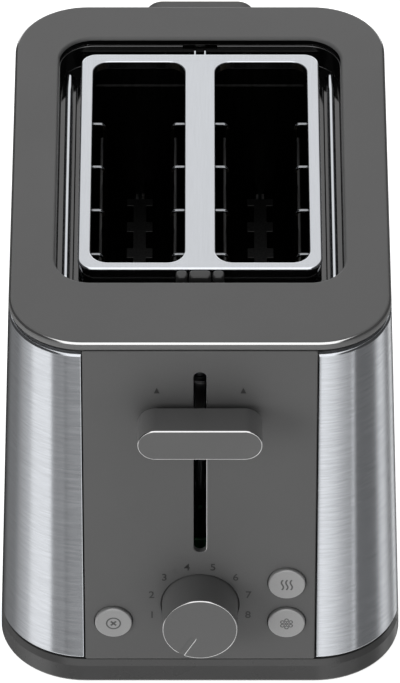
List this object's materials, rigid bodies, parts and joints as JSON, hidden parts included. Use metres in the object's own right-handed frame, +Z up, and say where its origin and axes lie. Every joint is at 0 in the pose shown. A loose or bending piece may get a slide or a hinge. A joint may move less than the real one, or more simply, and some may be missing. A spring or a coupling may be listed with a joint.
{
  "type": "pop up toaster",
  "caption": "Compact long-bodied pop-up toaster with bread slots side by side, brushed side shells, a lift lever, a browning dial, push buttons and a raised bun-warming rack.",
  "frame": {"origin": "on the table under the middle of the body", "axes": "+Z up, +X to the right seen from the front; the front, with the lift lever, faces -Y"},
  "size_m": [0.1824, 0.289, 0.197],
  "materials": {
    "grey_plastic": "dark grey satin moulded",
    "button_plastic": "silver-grey satin",
    "black_gloss": "black glossy enamel",
    "brushed_steel": "fine horizontal brushing",
    "polished_steel": "bright polished stainless steel",
    "dark_steel": "heat-darkened steel",
    "plated_steel": "zinc plated",
    "mica": "mica sheet with ribbon windings",
    "rubber": "matt black",
    "board_green": "solder mask",
    "dark_plastic": "moulded",
    "copper": "enamelled wire",
    "white_plastic": "low-friction moulded"
  },
  "bodies": {
    "housing": {"base": "grey_plastic", "foot_1": "rubber", "foot_2": "rubber", "foot_3": "rubber", "foot_4": "rubber", "base_screw_1": "plated_steel", "base_screw_2": "plated_steel", "base_screw_3": "plated_steel", "base_screw_4": "plated_steel", "left_side_shell": "brushed_steel", "right_side_shell": "brushed_steel", "front_panel": "grey_plastic", "rear_panel": "grey_plastic", "top_cover": "grey_plastic", "warmer_well": "black_gloss", "slot_plate": "polished_steel", "plate_clip": "grey_plastic", "front_chassis_plate": "plated_steel", "rear_chassis_plate": "plated_steel", "left_reflector": "plated_steel", "right_reflector": "plated_steel", "left_heater": "mica", "centre_heater": "mica", "right_heater": "mica", "guide_rod": "plated_steel", "magnet_core": "dark_steel", "magnet_coil": "copper", "control_board": "board_green", "dial_potentiometer": "dark_plastic", "stop_switch": "dark_plastic", "reheat_switch": "dark_plastic", "defrost_switch": "dark_plastic", "cord_gland": "rubber", "lift_spring": "plated_steel"},
    "lift_carriage": {"lift_carriage": "plated_steel", "lift_lever_knob": "grey_plastic", "left_bread_carrier": "dark_steel", "right_bread_carrier": "dark_steel", "magnet_armature": "plated_steel"},
    "left_outer_guide": {"left_outer_guide": "dark_steel"},
    "left_inner_guide": {"left_inner_guide": "dark_steel"},
    "right_inner_guide": {"right_inner_guide": "dark_steel"},
    "right_outer_guide": {"right_outer_guide": "dark_steel"},
    "bun_rack": {"rack_crossbar": "white_plastic", "left_rack": "polished_steel", "right_rack": "polished_steel"},
    "rack_lever": {"rack_slider": "white_plastic", "rack_lever_knob": "grey_plastic"},
    "rack_pinion": {"rack_pinion": "white_plastic"},
    "dial": {"dial_knob": "grey_plastic", "dial_shaft": "plated_steel"},
    "stop_button": {"stop_button": "button_plastic"},
    "reheat_button": {"reheat_button": "button_plastic"},
    "defrost_button": {"defrost_button": "button_plastic"},
    "crumb_tray": {"crumb_tray": "plated_steel", "crumb_tray_handle": "grey_plastic"}
  },
  "joints": [
    {"name": "carriage_lift", "type": "slide", "parent": "housing", "child": "lift_carriage", "axis": [0, 0, 1], "range_m": [-0.071, 0.02], "stiffness_N_per_m": 100, "springref_m": 0.0142, "deforming": ["lift_spring"]},
    {"name": "left_outer_guide_slide", "type": "slide", "parent": "housing", "child": "left_outer_guide", "axis": [1, 0, 0], "range_m": [-0.002, 0.0071]},
    {"name": "left_inner_guide_slide", "type": "slide", "parent": "housing", "child": "left_inner_guide", "axis": [-1, 0, 0], "range_m": [-0.002, 0.0071]},
    {"name": "right_inner_guide_slide", "type": "slide", "parent": "housing", "child": "right_inner_guide", "axis": [1, 0, 0], "range_m": [-0.002, 0.0071]},
    {"name": "right_outer_guide_slide", "type": "slide", "parent": "housing", "child": "right_outer_guide", "axis": [-1, 0, 0], "range_m": [-0.002, 0.0071]},
    {"name": "rack_lift", "type": "slide", "parent": "housing", "child": "bun_rack", "axis": [0, 0, 1], "range_m": [0, 0.032]},
    {"name": "rack_lever_slide", "type": "slide", "parent": "housing", "child": "rack_lever", "axis": [0, 0, 1], "range_m": [-0.032, 0]},
    {"name": "rack_pinion_spin", "type": "hinge", "parent": "housing", "child": "rack_pinion", "pos_m": [0, 0.108, 0.128], "axis": [0, 1, 0], "range_deg": [-262.5, 0]},
    {"name": "dial_turn", "type": "hinge", "parent": "housing", "child": "dial", "pos_m": [0, -0.12637, 0.0463], "axis": [0, 0.9995, -0.0323], "range_deg": [0, 300]},
    {"name": "stop_press", "type": "slide", "parent": "housing", "child": "stop_button", "axis": [0, 0.9995, -0.0323], "range_m": [0, 0.0016], "stiffness_N_per_m": 600, "springref_m": -0.0008},
    {"name": "reheat_press", "type": "slide", "parent": "housing", "child": "reheat_button", "axis": [0, 0.9995, -0.0323], "range_m": [0, 0.0016], "stiffness_N_per_m": 600, "springref_m": -0.0008},
    {"name": "defrost_press", "type": "slide", "parent": "housing", "child": "defrost_button", "axis": [0, 0.9995, -0.0323], "range_m": [0, 0.0016], "stiffness_N_per_m": 600, "springref_m": -0.0008},
    {"name": "crumb_tray_slide", "type": "slide", "parent": "housing", "child": "crumb_tray", "axis": [0, 1, 0], "range_m": [0, 0.16]}
  ],
  "couplings": [
    {"joint": "left_outer_guide_slide", "follows": "carriage_lift", "ratio": -0.1},
    {"joint": "left_inner_guide_slide", "follows": "carriage_lift", "ratio": -0.1},
    {"joint": "right_inner_guide_slide", "follows": "carriage_lift", "ratio": -0.1},
    {"joint": "right_outer_guide_slide", "follows": "carriage_lift", "ratio": -0.1},
    {"joint": "rack_lever_slide", "follows": "rack_lift", "ratio": -1},
    {"joint": "rack_pinion_spin", "follows": "rack_lift", "rad_per_m": -142.86}
  ]
}
